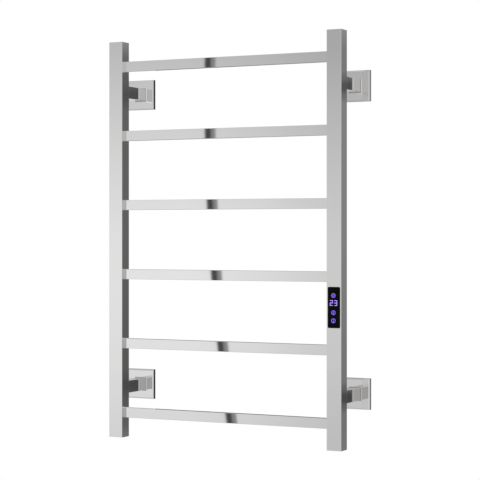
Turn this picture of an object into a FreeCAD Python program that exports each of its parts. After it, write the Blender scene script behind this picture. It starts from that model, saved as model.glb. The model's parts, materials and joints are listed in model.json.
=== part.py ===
import FreeCAD, Part
import math
import os

# Electric towel warmer rack: two flat tube uprights joined by six flat rungs, carried clear of the wall
# by four square standoffs that plug onto wall flanges.
# Millimetres. +X is to the right, +Z is up, and -Y points out from the wall, which is the plane Y = 0.
# The origin is the centre of the four wall flanges.

# Rack frame
RACK_HEIGHT = 800.0
RACK_WIDTH = 512.0
UPRIGHT_WIDTH = 30.5
UPRIGHT_DEPTH = 27.5
UPRIGHT_WALL = 1.5
UPRIGHT_CORNER = 0.8
END_CAP_THICKNESS = 1.5
RUNG_COUNT = 6
RUNG_PITCH = 140.0
RUNG_HEIGHT = 20.0
RUNG_DEPTH = 10.0
RUNG_WALL = 1.2
RUNG_CORNER = 0.5

# Wall brackets
BRACKET_SPACING_X = 482.7
BRACKET_SPACING_Z = 600.0
STANDOFF_REACH = 82.5
STANDOFF_SIZE = 24.5
STANDOFF_WALL = 2.0
STANDOFF_CORNER = 0.8
STANDOFF_END_PLATE = 3.0
ROSETTE_SIZE = 60.8
ROSETTE_DEPTH = 8.0
ROSETTE_SHEET = 1.2
ROSETTE_BEVEL_WIDTH = 2.6
ROSETTE_BEVEL_DEPTH = 0.6
ROSETTE_LIP = 1.5
ROSETTE_LIP_RIM = 0.3
SLIDE_GAP = 0.3
FLANGE_SIZE = 50.0
FLANGE_THICKNESS = 3.0
SPIGOT_LENGTH = 45.0
SPIGOT_WALL = 3.0
WALL_SCREW_HOLE = 5.5
WALL_SCREW_OFFSET = 19.0

# Bracket fasteners
BOLT_DIAMETER = 6.0
BOLT_LENGTH = 12.0
BOLT_HEAD_DIAMETER = 10.0
BOLT_HEAD_HEIGHT = 6.0
BOLT_SOCKET = 5.0
BOLT_SOCKET_DEPTH = 3.0
BOLT_CLEARANCE_HOLE = 6.6
NUT_SIZE = 12.0
NUT_THICKNESS = 5.0
THREAD_GAP = 0.05
GRUB_DIAMETER = 4.0
GRUB_LENGTH = 3.5
GRUB_SOCKET = 2.0
GRUB_SOCKET_DEPTH = 1.6
GRUB_FROM_WALL = 20.0
DISTANCE_ADJUSTMENT = 15.0
GROOVE_WIDTH = 4.6
GROOVE_DEPTH = 1.6

# Control panel, set into the front of the right upright
PANEL_BELOW_MIDDLE = 128.0
PANEL_WIDTH = 25.4
PANEL_HEIGHT = 77.8
PANEL_CORNER = 2.5
GLASS_THICKNESS = 2.0
GLASS_PROUD = 0.4
GASKET_THICKNESS = 0.3
GASKET_DEPTH = 1.4
HOUSING_WIDTH = 22.4
HOUSING_HEIGHT = 74.8
HOUSING_DEPTH = 8.7
HOUSING_WALL = 1.2
HOUSING_CORNER = 2.0
LATCH_WIDTH = 12.0
LATCH_REACH = 41.0
BOARD_WIDTH = 19.6
BOARD_HEIGHT = 69.6
BOARD_THICKNESS = 1.6
BOARD_BEHIND_GLASS = 3.4
BOARD_SCREW_OFFSET = 17.45
BOARD_SCREW_DIAMETER = 1.9
BOARD_SCREW_HEAD = 3.6
BOARD_SCREW_HEAD_HEIGHT = 1.2
BOARD_POST_DIAMETER = 4.4
DISPLAY_FROM_TOP = 30.0
DISPLAY_WIDTH = 16.0
DISPLAY_HEIGHT = 13.0
DISPLAY_GAP = 0.2
TOUCH_KEYS_FROM_TOP = [15.8, 48.7, 63.9]
TOUCH_SPRING_DIAMETER = 7.0
TOUCH_SPRING_WALL = 0.6
TOUCH_SPRING_GAP = 0.1
TRIAC_WIDTH = 6.5
TRIAC_HEIGHT = 9.0
TRIAC_THICKNESS = 2.3
HEADER_WIDTH = 18.0
HEADER_HEIGHT = 5.0
HEADER_THICKNESS = 2.4

# Heating circuit and wiring inside the tubes
HEATING_CABLE_DIAMETER = 4.0
CABLE_BEND = 23.0
CABLE_END_STUB = 2.0
STRAIGHT_LEFT = 0.95
CABLE_HOLE = 6.0
SPLICE_DIAMETER = 5.5
SPLICE_LENGTH = 24.0
LEAD_DIAMETER = 2.2
LEAD_BEND = 12.0
LEAD_HOLE = 2.8
LEAD_LANE_BEHIND_GLASS = 6.25
SUPPLY_LEAD_OFFSETS = [-7.75, -4.25]
HEATER_LEAD_OFFSET = 5.75
SENSOR_LEAD_OFFSET = -5.0
LEAD_SHIFT_LENGTH = 22.0
FUSE_DIAMETER = 4.2
FUSE_LENGTH = 14.0
FUSE_BOTTOM = 20.0
SENSOR_DIAMETER = 3.4
SENSOR_LENGTH = 10.0
SENSOR_BOTTOM = -50.0
SENSOR_LEAD_DIAMETER = 1.6
TERMINAL_WIDTH = 20.0
TERMINAL_DEPTH = 10.0
TERMINAL_HEIGHT = 14.0
TERMINAL_ABOVE_END = 6.0
TERMINAL_SCREW_DIAMETER = 3.9
TERMINAL_SCREW_LENGTH = 5.0
TERMINAL_HOLE_DIAMETER = 4.1
TERMINAL_HOLE_DEPTH = 7.0
TERMINAL_POLE_PITCH = 6.0
INLET_ABOVE_END = 30.0
INLET_BORE = 7.2
INLET_NECK = 10.0
INLET_RIM = 14.0
INLET_RIM_THICKNESS = 1.5
EARTH_ABOVE_END = 47.0
EARTH_OFFSET = 8.75
EARTH_SCREW_DIAMETER = 4.0
EARTH_HEAD_DIAMETER = 8.0
EARTH_HEAD_HEIGHT = 2.4
EARTH_SCREW_INSIDE = 6.0
EARTH_LUG_DIAMETER = 8.0
EARTH_LUG_THICKNESS = 0.8
EARTH_LUG_TAIL = 5.0
EARTH_NUT_SIZE = 7.0
EARTH_NUT_THICKNESS = 3.2
EARTH_LEAD_BEND = 7.0

# Places worked out from the sizes above
UPRIGHT_X = (RACK_WIDTH - UPRIGHT_WIDTH) / 2
RUNG_HALF_LENGTH = RACK_WIDTH / 2 - UPRIGHT_WIDTH
UPRIGHT_BACK = -STANDOFF_REACH
UPRIGHT_FRONT = UPRIGHT_BACK - UPRIGHT_DEPTH
TUBE_MIDDLE = (UPRIGHT_BACK + UPRIGHT_FRONT) / 2
INNER_BACK = UPRIGHT_BACK - UPRIGHT_WALL
INNER_WIDTH = UPRIGHT_WIDTH - 2 * UPRIGHT_WALL
INNER_DEPTH = UPRIGHT_DEPTH - 2 * UPRIGHT_WALL
INNER_CORNER = 0.5
RACK_BOTTOM = -RACK_HEIGHT / 2
RUNG_LEVELS = [RUNG_PITCH * ((RUNG_COUNT - 1) / 2 - i) for i in range(RUNG_COUNT)]
STANDOFF_INSIDE = STANDOFF_SIZE - 2 * STANDOFF_WALL
SPIGOT_SIZE = STANDOFF_INSIDE - 2 * SLIDE_GAP
GLASS_FRONT = UPRIGHT_FRONT - GLASS_PROUD
GLASS_BACK = GLASS_FRONT + GLASS_THICKNESS
HOUSING_BACK = GLASS_BACK + HOUSING_DEPTH
BOARD_FRONT = GLASS_BACK + BOARD_BEHIND_GLASS
BOARD_BACK = BOARD_FRONT + BOARD_THICKNESS
PANEL_Z = -PANEL_BELOW_MIDDLE
PANEL_TOP = PANEL_Z + PANEL_HEIGHT / 2
LEAD_LANE = GLASS_BACK + LEAD_LANE_BEHIND_GLASS
CABLE_LANE_X = RUNG_HALF_LENGTH + UPRIGHT_WALL + CABLE_BEND
TERMINAL_BOTTOM = RACK_BOTTOM + TERMINAL_ABOVE_END
TERMINAL_TOP = TERMINAL_BOTTOM + TERMINAL_HEIGHT
INLET_Z = RACK_BOTTOM + INLET_ABOVE_END
EARTH_X = UPRIGHT_X + EARTH_OFFSET
EARTH_Z = RACK_BOTTOM + EARTH_ABOVE_END

SIDES = {"left": -1, "right": 1}
LEVELS = {"upper": 1, "lower": -1}
X_AXIS = FreeCAD.Vector(1, 0, 0)
Y_AXIS = FreeCAD.Vector(0, 1, 0)
Z_AXIS = FreeCAD.Vector(0, 0, 1)


def vec(x, y, z):
    return FreeCAD.Vector(x, y, z)


def block(centre, size):
    """A plain block about a centre point."""
    corner = centre - size * 0.5
    return Part.makeBox(size.x, size.y, size.z, corner)


def bar(centre, size, axis, corner):
    """A block whose four edges along the axis are rounded."""
    solid = block(centre, size)
    edges = [e for e in solid.Edges if abs(abs(e.tangentAt(e.FirstParameter).dot(axis)) - 1) < 1e-6]
    return solid.makeFillet(corner, edges)


def tube(centre, size, axis, corner, wall):
    """A rounded bar with an open bore along its axis."""
    across = vec(1, 1, 1) - axis
    bore_size = size - across * (2 * wall) + axis * wall
    bore = bar(centre, bore_size, axis, max(corner - wall, INNER_CORNER))
    return bar(centre, size, axis, corner).cut(bore)


def rod(start, axis, length, diameter):
    return Part.makeCylinder(diameter / 2, length, start, axis)


def hexagon(start, axis, length, across_flats):
    """A hexagonal prism from a start point along X, Y or Z."""
    radius = across_flats / math.sqrt(3)
    first = Z_AXIS if abs(axis.z) < 0.5 else X_AXIS
    second = axis.cross(first)
    turns = [math.radians(60 * i) for i in range(7)]
    corners = [start + first * (radius * math.cos(a)) + second * (radius * math.sin(a)) for a in turns]
    return Part.Face(Part.makePolygon(corners)).extrude(axis * length)


def cut_all(solid, tools):
    for tool in tools:
        solid = solid.cut(tool)
    return solid


def fuse_all(solids):
    body = solids[0]
    for other in solids[1:]:
        body = body.fuse(other)
    return body.removeSplitter()


def route_wire(points, bend):
    """Straight runs joined by tangent arcs, each arc as large as the bend or its runs allow."""
    edges = []
    start = points[0]
    for before, corner, after in zip(points, points[1:], points[2:]):
        run_in = (corner - before).normalize()
        run_out = (after - corner).normalize()
        room_in = start.distanceToPoint(corner)
        room_out = corner.distanceToPoint(after) / (1 if after == points[-1] else 2)
        half_tangent = math.tan(run_in.getAngle(run_out) / 2)
        radius = min(bend, STRAIGHT_LEFT * min(room_in, room_out) / half_tangent)
        setback = radius * half_tangent
        arc_start = corner - run_in * setback
        arc_end = corner + run_out * setback
        to_middle = (run_out - run_in).normalize()
        centre = corner + to_middle * math.hypot(radius, setback)
        arc_middle = centre - to_middle * radius
        edges.append(Part.LineSegment(start, arc_start).toShape())
        edges.append(Part.Arc(arc_start, arc_middle, arc_end).toShape())
        start = arc_end
    edges.append(Part.LineSegment(start, points[-1]).toShape())
    return Part.Wire(edges)


def cable(points, diameter, bend):
    """A round cable laid along a route."""
    wire = route_wire(points, bend)
    first_run = (points[1] - points[0]).normalize()
    section = Part.Wire(Part.makeCircle(diameter / 2, points[0], first_run))
    solid = wire.makePipeShell([section], True, False)
    expected = math.pi * diameter ** 2 / 4 * wire.Length
    radii = sorted({round(edge.Curve.Radius, 1) for edge in wire.Edges if hasattr(edge.Curve, "Radius")})
    ratio = solid.Volume / expected
    print(f"cable {diameter} mm: length {wire.Length:.0f}, bend radii {radii}, volume ratio {ratio:.4f}")
    return solid


def export(name, shape):
    shape.exportStep(f"parts/{name}.step")


# Frame

def panel_cutout():
    opening = PANEL_WIDTH + 2 * GASKET_THICKNESS
    size = vec(opening, 4 * UPRIGHT_WALL, PANEL_HEIGHT + 2 * GASKET_THICKNESS)
    return bar(vec(UPRIGHT_X, UPRIGHT_FRONT, PANEL_Z), size, Y_AXIS, PANEL_CORNER + GASKET_THICKNESS)


def upright(side):
    """One upright tube, with its cable holes, bracket bolt holes and, on the right, the panel's openings."""
    centre = vec(side * UPRIGHT_X, TUBE_MIDDLE, 0)
    body = tube(centre, vec(UPRIGHT_WIDTH, UPRIGHT_DEPTH, RACK_HEIGHT), Z_AXIS, UPRIGHT_CORNER, UPRIGHT_WALL)
    inner_face = side * RUNG_HALF_LENGTH
    holes = []
    for z in RUNG_LEVELS:
        holes.append(rod(vec(inner_face, TUBE_MIDDLE, z), X_AXIS * side, 2 * UPRIGHT_WALL, CABLE_HOLE))
    for level in LEVELS.values():
        start = bracket_centre(side, level, INNER_BACK)
        holes.append(rod(start, Y_AXIS, 2 * UPRIGHT_WALL, BOLT_CLEARANCE_HOLE))
    if side > 0:
        holes.append(panel_cutout())
        holes.append(rod(vec(UPRIGHT_X, INNER_BACK, INLET_Z), Y_AXIS, 2 * UPRIGHT_WALL, INLET_NECK))
        holes.append(rod(vec(EARTH_X, INNER_BACK, EARTH_Z), Y_AXIS, 2 * UPRIGHT_WALL, EARTH_SCREW_DIAMETER))
    return cut_all(body, holes)


def rung(z):
    size = vec(2 * RUNG_HALF_LENGTH, RUNG_DEPTH, RUNG_HEIGHT)
    return tube(vec(0, TUBE_MIDDLE, z), size, X_AXIS, RUNG_CORNER, RUNG_WALL)


def end_cap(side, level):
    """A plate that closes one end of an upright, flush with the tube's end."""
    z = level * (RACK_HEIGHT - END_CAP_THICKNESS) / 2
    size = vec(INNER_WIDTH, INNER_DEPTH, END_CAP_THICKNESS)
    return bar(vec(side * UPRIGHT_X, TUBE_MIDDLE, z), size, Z_AXIS, INNER_CORNER)


# Wall brackets

def bracket_centre(side, level, y):
    return vec(side * BRACKET_SPACING_X / 2, y, level * BRACKET_SPACING_Z / 2)


def wall_flange(side, level):
    """The plate that is screwed to the wall, with the hollow spigot that the standoff slides over."""
    plate = block(
        bracket_centre(side, level, -FLANGE_THICKNESS / 2), vec(FLANGE_SIZE, FLANGE_THICKNESS, FLANGE_SIZE)
    )
    spigot_centre = bracket_centre(side, level, -FLANGE_THICKNESS - SPIGOT_LENGTH / 2)
    spigot = bar(spigot_centre, vec(SPIGOT_SIZE, SPIGOT_LENGTH, SPIGOT_SIZE), Y_AXIS, STANDOFF_CORNER)
    bore_size = SPIGOT_SIZE - 2 * SPIGOT_WALL
    bore = bar(spigot_centre, vec(bore_size, SPIGOT_LENGTH, bore_size), Y_AXIS, STANDOFF_CORNER)
    body = fuse_all([plate, spigot]).cut(bore)
    for direction in (-1, 1):
        start = bracket_centre(side, level, -2 * FLANGE_THICKNESS) + vec(0, 0, direction * WALL_SCREW_OFFSET)
        body = body.cut(rod(start, Y_AXIS, 3 * FLANGE_THICKNESS, WALL_SCREW_HOLE))
    groove_length = DISTANCE_ADJUSTMENT + GRUB_DIAMETER + 2 * SLIDE_GAP
    groove_y = -GRUB_FROM_WALL - DISTANCE_ADJUSTMENT / 2
    groove_centre = bracket_centre(side, level, groove_y) - vec(0, 0, SPIGOT_SIZE / 2)
    return body.cut(block(groove_centre, vec(GROOVE_WIDTH, groove_length, 2 * GROOVE_DEPTH)))


def standoff(side, level):
    """The square arm: open at the wall, closed by a drilled plate against the upright."""
    length = STANDOFF_REACH - FLANGE_THICKNESS - SLIDE_GAP
    y = UPRIGHT_BACK + length / 2
    body = bar(
        bracket_centre(side, level, y), vec(STANDOFF_SIZE, length, STANDOFF_SIZE), Y_AXIS, STANDOFF_CORNER
    )
    bore = bar(
        bracket_centre(side, level, y + STANDOFF_END_PLATE),
        vec(STANDOFF_INSIDE, length, STANDOFF_INSIDE),
        Y_AXIS,
        INNER_CORNER,
    )
    bolt_start = bracket_centre(side, level, UPRIGHT_BACK)
    bolt_hole = rod(bolt_start, Y_AXIS, 2 * STANDOFF_END_PLATE, BOLT_CLEARANCE_HOLE)
    grub_start = bracket_centre(side, level, -GRUB_FROM_WALL) - vec(0, 0, STANDOFF_SIZE / 2)
    grub_hole = rod(grub_start, Z_AXIS, 2 * STANDOFF_WALL, GRUB_DIAMETER)
    return cut_all(body, [bore, bolt_hole, grub_hole])


def rosette(side, level):
    """The square cover that slides along the standoff, with a sloping lip pressed around its window."""
    edge_depth = ROSETTE_DEPTH - ROSETTE_BEVEL_DEPTH
    edge = ROSETTE_SIZE / 2
    face = edge - ROSETTE_BEVEL_WIDTH
    outer = block(bracket_centre(side, level, -edge_depth / 2), vec(ROSETTE_SIZE, edge_depth, ROSETTE_SIZE))
    front = Part.makeWedge(
        -face, -ROSETTE_DEPTH, -face, -edge, -edge,
        face, -edge_depth, face, edge, edge,
    )
    front.translate(bracket_centre(side, level, 0))
    window_size = STANDOFF_SIZE + 2 * SLIDE_GAP
    lip_size = window_size + 2 * ROSETTE_LIP
    lip_centre = bracket_centre(side, level, -ROSETTE_DEPTH - ROSETTE_LIP / 2)
    lip = block(lip_centre, vec(lip_size, ROSETTE_LIP, lip_size))
    lip_edges = [e for e in lip.Edges if e.CenterOfMass.y < -ROSETTE_DEPTH - ROSETTE_LIP + 1e-6]
    lip = lip.makeChamfer(ROSETTE_LIP - ROSETTE_LIP_RIM, lip_edges)
    inside = ROSETTE_SIZE - 2 * ROSETTE_SHEET
    inner_centre = bracket_centre(side, level, ROSETTE_SHEET - ROSETTE_DEPTH / 2)
    inner = block(inner_centre, vec(inside, ROSETTE_DEPTH, inside))
    window = bar(
        bracket_centre(side, level, -ROSETTE_DEPTH), vec(window_size, 2 * ROSETTE_DEPTH, window_size),
        Y_AXIS, STANDOFF_CORNER,
    )
    return cut_all(fuse_all([outer, front, lip]), [inner, window])


def standoff_bolt(side, level):
    """Socket-head bolt through the standoff's end plate into the nut inside the upright."""
    seat = bracket_centre(side, level, UPRIGHT_BACK + STANDOFF_END_PLATE)
    head = rod(seat, Y_AXIS, BOLT_HEAD_HEIGHT, BOLT_HEAD_DIAMETER)
    shank = rod(seat, -Y_AXIS, BOLT_LENGTH, BOLT_DIAMETER)
    socket_start = seat + Y_AXIS * (BOLT_HEAD_HEIGHT - BOLT_SOCKET_DEPTH)
    return fuse_all([head, shank]).cut(hexagon(socket_start, Y_AXIS, 2 * BOLT_SOCKET_DEPTH, BOLT_SOCKET))


def weld_nut(side, level):
    centre = bracket_centre(side, level, INNER_BACK - NUT_THICKNESS / 2)
    nut = block(centre, vec(NUT_SIZE, NUT_THICKNESS, NUT_SIZE))
    start = bracket_centre(side, level, INNER_BACK)
    return nut.cut(rod(start, -Y_AXIS, 2 * NUT_THICKNESS, BOLT_DIAMETER + 2 * THREAD_GAP))


def grub_screw(side, level):
    """Set screw under the standoff, whose tip runs in the spigot's groove and locks the wall distance."""
    start = bracket_centre(side, level, -GRUB_FROM_WALL) - vec(0, 0, STANDOFF_SIZE / 2)
    screw = rod(start, Z_AXIS, GRUB_LENGTH, GRUB_DIAMETER)
    return screw.cut(hexagon(start, Z_AXIS, GRUB_SOCKET_DEPTH, GRUB_SOCKET))


def four_brackets(make):
    """One solid per bracket, held in a single group."""
    return Part.makeCompound([make(side, level) for level in LEVELS.values() for side in SIDES.values()])


# Control panel

def panel_plate(width, height, corner, front, back):
    centre = vec(UPRIGHT_X, (front + back) / 2, PANEL_Z)
    return bar(centre, vec(width, back - front, height), Y_AXIS, corner)


def control_glass():
    return panel_plate(PANEL_WIDTH, PANEL_HEIGHT, PANEL_CORNER, GLASS_FRONT, GLASS_BACK)


def control_gasket():
    rim = 2 * GASKET_THICKNESS
    back = UPRIGHT_FRONT + GASKET_DEPTH
    corner = PANEL_CORNER + GASKET_THICKNESS
    ring = panel_plate(PANEL_WIDTH + rim, PANEL_HEIGHT + rim, corner, UPRIGHT_FRONT, back)
    return ring.cut(panel_plate(PANEL_WIDTH, PANEL_HEIGHT, PANEL_CORNER, GLASS_FRONT, back + GASKET_DEPTH))


def lead_holes(end, offsets, diameter):
    """Holes through the housing's upper or lower wall, one per lead."""
    z = PANEL_Z + end * (HOUSING_HEIGHT / 2 + HOUSING_WALL)
    reach = 3 * HOUSING_WALL
    return [rod(vec(UPRIGHT_X + x, LEAD_LANE, z), Z_AXIS * -end, reach, diameter) for x in offsets]


def control_housing():
    """Tray behind the glass: walls, board posts and the latches that hook behind the upright's front wall."""
    shell = panel_plate(HOUSING_WIDTH, HOUSING_HEIGHT, HOUSING_CORNER, GLASS_BACK, HOUSING_BACK)
    inside_width = HOUSING_WIDTH - 2 * HOUSING_WALL
    inside_height = HOUSING_HEIGHT - 2 * HOUSING_WALL
    floor = HOUSING_BACK - HOUSING_WALL
    shell = shell.cut(panel_plate(inside_width, inside_height, HOUSING_CORNER / 2, GLASS_BACK - 1, floor))
    pieces = [shell]
    for end in (-1, 1):
        post_start = vec(UPRIGHT_X, floor, PANEL_Z + end * BOARD_SCREW_OFFSET)
        post = rod(post_start, -Y_AXIS, floor - BOARD_BACK, BOARD_POST_DIAMETER)
        pieces.append(post)
        latch_length = LATCH_REACH - HOUSING_HEIGHT / 2 + HOUSING_WALL / 2
        latch_z = PANEL_Z + end * (LATCH_REACH - latch_length / 2)
        latch_y = GLASS_BACK + HOUSING_WALL / 2
        pieces.append(block(vec(UPRIGHT_X, latch_y, latch_z), vec(LATCH_WIDTH, HOUSING_WALL, latch_length)))
    body = fuse_all(pieces)
    for end in (-1, 1):
        bore_start = vec(UPRIGHT_X, BOARD_BACK, PANEL_Z + end * BOARD_SCREW_OFFSET)
        body = body.cut(rod(bore_start, Y_AXIS, floor - BOARD_BACK, BOARD_SCREW_DIAMETER))
    body = cut_all(body, lead_holes(-1, SUPPLY_LEAD_OFFSETS + [HEATER_LEAD_OFFSET], LEAD_HOLE))
    body = cut_all(body, lead_holes(1, [HEATER_LEAD_OFFSET, SENSOR_LEAD_OFFSET], LEAD_HOLE))
    return body


def control_board():
    board = panel_plate(BOARD_WIDTH, BOARD_HEIGHT, HOUSING_CORNER / 2, BOARD_FRONT, BOARD_BACK)
    hole_diameter = BOARD_SCREW_DIAMETER + 2 * SLIDE_GAP
    for end in (-1, 1):
        start = vec(UPRIGHT_X, BOARD_FRONT - 1, PANEL_Z + end * BOARD_SCREW_OFFSET)
        board = board.cut(rod(start, Y_AXIS, BOARD_THICKNESS + 2, hole_diameter))
    return board


def board_screws():
    screws = []
    for end in (-1, 1):
        seat = vec(UPRIGHT_X, BOARD_FRONT, PANEL_Z + end * BOARD_SCREW_OFFSET)
        head = rod(seat, -Y_AXIS, BOARD_SCREW_HEAD_HEIGHT, BOARD_SCREW_HEAD)
        shank = rod(seat, Y_AXIS, BOARD_THICKNESS + HOUSING_WALL, BOARD_SCREW_DIAMETER)
        screws.append(fuse_all([head, shank]))
    return Part.makeCompound(screws)


def digit_display():
    depth = BOARD_BEHIND_GLASS - DISPLAY_GAP
    centre = vec(UPRIGHT_X, BOARD_FRONT - depth / 2, PANEL_TOP - DISPLAY_FROM_TOP)
    return block(centre, vec(DISPLAY_WIDTH, depth, DISPLAY_HEIGHT))


def touch_springs():
    springs = []
    length = BOARD_BEHIND_GLASS - TOUCH_SPRING_GAP
    for drop in TOUCH_KEYS_FROM_TOP:
        start = vec(UPRIGHT_X, BOARD_FRONT, PANEL_TOP - drop)
        outer = rod(start, -Y_AXIS, length, TOUCH_SPRING_DIAMETER)
        springs.append(outer.cut(rod(start, -Y_AXIS, length, TOUCH_SPRING_DIAMETER - 2 * TOUCH_SPRING_WALL)))
    return Part.makeCompound(springs)


def power_triac():
    centre = vec(UPRIGHT_X, BOARD_BACK + TRIAC_THICKNESS / 2, PANEL_Z)
    return block(centre, vec(TRIAC_WIDTH, TRIAC_THICKNESS, TRIAC_HEIGHT))


def header_end(end):
    """Height at which the leads meet the header on the board's upper or lower end."""
    return PANEL_Z + end * BOARD_HEIGHT / 2


def lead_headers():
    headers = []
    for end in (-1, 1):
        z = header_end(end) - end * HEADER_HEIGHT / 2
        centre = vec(UPRIGHT_X, BOARD_BACK + HEADER_THICKNESS / 2, z)
        headers.append(block(centre, vec(HEADER_WIDTH, HEADER_THICKNESS, HEADER_HEIGHT)))
    return Part.makeCompound(headers)


# Heating circuit and wiring

def splice_ends(level):
    """Heights of the splice's end at the cable and of its end at the lead."""
    near = level * (abs(RUNG_LEVELS[0]) - CABLE_BEND)
    return near, near - level * SPLICE_LENGTH


def heating_cable():
    """One cable through every rung in turn, down the two uprights, with both ends in the right upright."""
    points = [vec(CABLE_LANE_X, TUBE_MIDDLE, splice_ends(1)[0] - CABLE_END_STUB)]
    side = 1
    for z in RUNG_LEVELS:
        points.append(vec(side * CABLE_LANE_X, TUBE_MIDDLE, z))
        side = -side
        points.append(vec(side * CABLE_LANE_X, TUBE_MIDDLE, z))
    points.append(vec(CABLE_LANE_X, TUBE_MIDDLE, splice_ends(-1)[0] + CABLE_END_STUB))
    return cable(points, HEATING_CABLE_DIAMETER, CABLE_BEND)


def splice_sleeves():
    sleeves = []
    for level in LEVELS.values():
        near, far = splice_ends(level)
        low = min(near, far)
        sleeve = rod(vec(CABLE_LANE_X, TUBE_MIDDLE, low), Z_AXIS, SPLICE_LENGTH, SPLICE_DIAMETER)
        mouth = vec(CABLE_LANE_X, TUBE_MIDDLE, near)
        socket = rod(mouth, Z_AXIS * -level, CABLE_END_STUB, HEATING_CABLE_DIAMETER)
        sleeves.append(sleeve.cut(socket))
    return Part.makeCompound(sleeves)


def heater_lead_points(level):
    """From the splice forward to the lane behind the front wall."""
    splice_z = splice_ends(level)[1]
    lane_x = UPRIGHT_X + HEATER_LEAD_OFFSET
    drop = level * LEAD_SHIFT_LENGTH
    return [
        vec(CABLE_LANE_X, TUBE_MIDDLE, splice_z),
        vec(CABLE_LANE_X, TUBE_MIDDLE, splice_z - drop / 3),
        vec(lane_x, LEAD_LANE, splice_z - drop),
    ]


def heater_leads():
    """The unheated leads: board to fuse, fuse to upper splice, and board to lower splice."""
    lane_x = UPRIGHT_X + HEATER_LEAD_OFFSET
    board_top = vec(lane_x, LEAD_LANE, header_end(1))
    fuse_bottom = vec(lane_x, LEAD_LANE, FUSE_BOTTOM)
    fuse_top = vec(lane_x, LEAD_LANE, FUSE_BOTTOM + FUSE_LENGTH)
    board_bottom = vec(lane_x, LEAD_LANE, header_end(-1))
    first = rod(board_top, Z_AXIS, FUSE_BOTTOM - header_end(1), LEAD_DIAMETER)
    second = cable(heater_lead_points(1) + [fuse_top], LEAD_DIAMETER, LEAD_BEND)
    third = cable(heater_lead_points(-1) + [board_bottom], LEAD_DIAMETER, LEAD_BEND)
    thermal = rod(fuse_bottom, Z_AXIS, FUSE_LENGTH, FUSE_DIAMETER)
    return Part.makeCompound([first, second, third]), thermal


def straight_lead(offset, low, high, diameter):
    return rod(vec(UPRIGHT_X + offset, LEAD_LANE, low), Z_AXIS, high - low, diameter)


def supply_leads():
    leads = [straight_lead(x, TERMINAL_TOP, header_end(-1), LEAD_DIAMETER) for x in SUPPLY_LEAD_OFFSETS]
    return Part.makeCompound(leads)


def terminal_centre():
    return vec(UPRIGHT_X, LEAD_LANE, (TERMINAL_BOTTOM + TERMINAL_TOP) / 2)


def terminal_poles():
    return [vec(UPRIGHT_X + i * TERMINAL_POLE_PITCH, LEAD_LANE, TERMINAL_BOTTOM) for i in (-1, 0, 1)]


def terminal_block():
    body = block(terminal_centre(), vec(TERMINAL_WIDTH, TERMINAL_DEPTH, TERMINAL_HEIGHT))
    holes = [rod(p, Z_AXIS, TERMINAL_HOLE_DEPTH, TERMINAL_HOLE_DIAMETER) for p in terminal_poles()]
    return cut_all(body, holes)


def terminal_screws():
    screws = []
    for pole in terminal_poles():
        start = pole + Z_AXIS * (TERMINAL_HOLE_DEPTH - TERMINAL_SCREW_LENGTH)
        screw = rod(start, Z_AXIS, TERMINAL_SCREW_LENGTH, TERMINAL_SCREW_DIAMETER)
        slot = block(start, vec(TERMINAL_SCREW_DIAMETER, 0.8, 1.6))
        screws.append(screw.cut(slot))
    return Part.makeCompound(screws)


def inlet_grommet():
    """Rubber bush in the upright's back wall, for a supply cable."""
    base = vec(UPRIGHT_X, UPRIGHT_BACK, INLET_Z)
    neck = rod(base, -Y_AXIS, UPRIGHT_WALL, INLET_NECK)
    outer_rim = rod(base, Y_AXIS, INLET_RIM_THICKNESS, INLET_RIM)
    inner_rim = rod(vec(UPRIGHT_X, INNER_BACK, INLET_Z), -Y_AXIS, INLET_RIM_THICKNESS, INLET_RIM)
    length = UPRIGHT_WALL + 2 * INLET_RIM_THICKNESS
    bore = rod(base + Y_AXIS * INLET_RIM_THICKNESS, -Y_AXIS, length, INLET_BORE)
    return fuse_all([neck, outer_rim, inner_rim]).cut(bore)


def earth_screw():
    base = vec(EARTH_X, UPRIGHT_BACK, EARTH_Z)
    head = rod(base, Y_AXIS, EARTH_HEAD_HEIGHT, EARTH_HEAD_DIAMETER)
    shank = rod(base, -Y_AXIS, UPRIGHT_WALL + EARTH_SCREW_INSIDE, EARTH_SCREW_DIAMETER)
    slot = block(base + Y_AXIS * EARTH_HEAD_HEIGHT, vec(EARTH_HEAD_DIAMETER, 2.0, 1.0))
    return fuse_all([head, shank]).cut(slot)


def earth_lug():
    """Ring terminal with a crimped tail that points down to its lead."""
    start = vec(EARTH_X, INNER_BACK, EARTH_Z)
    ring = rod(start, -Y_AXIS, EARTH_LUG_THICKNESS, EARTH_LUG_DIAMETER)
    tail_length = EARTH_LUG_DIAMETER / 2 + EARTH_LUG_TAIL
    tail_centre = start - vec(0, EARTH_LUG_THICKNESS / 2, tail_length / 2)
    tail = block(tail_centre, vec(EARTH_LUG_DIAMETER / 2, EARTH_LUG_THICKNESS, tail_length))
    hole = rod(start, -Y_AXIS, EARTH_LUG_THICKNESS, EARTH_SCREW_DIAMETER)
    return fuse_all([ring, tail]).cut(hole)


def earth_nut():
    start = vec(EARTH_X, INNER_BACK - EARTH_LUG_THICKNESS, EARTH_Z)
    nut = hexagon(start, -Y_AXIS, EARTH_NUT_THICKNESS, EARTH_NUT_SIZE)
    return nut.cut(rod(start, -Y_AXIS, EARTH_NUT_THICKNESS, EARTH_SCREW_DIAMETER))


def earth_lead():
    """From under the lug's tail down the back wall, then forward into the terminal block."""
    y = INNER_BACK - LEAD_DIAMETER / 2
    top = EARTH_Z - EARTH_LUG_DIAMETER / 2 - EARTH_LUG_TAIL
    block_back = terminal_centre().y + TERMINAL_DEPTH / 2
    pole_z = terminal_centre().z
    return cable([vec(EARTH_X, y, top), vec(EARTH_X, y, pole_z), vec(EARTH_X, block_back, pole_z)],
                 LEAD_DIAMETER, EARTH_LEAD_BEND)


def sensor_lead():
    return straight_lead(SENSOR_LEAD_OFFSET, header_end(1), SENSOR_BOTTOM, SENSOR_LEAD_DIAMETER)


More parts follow.
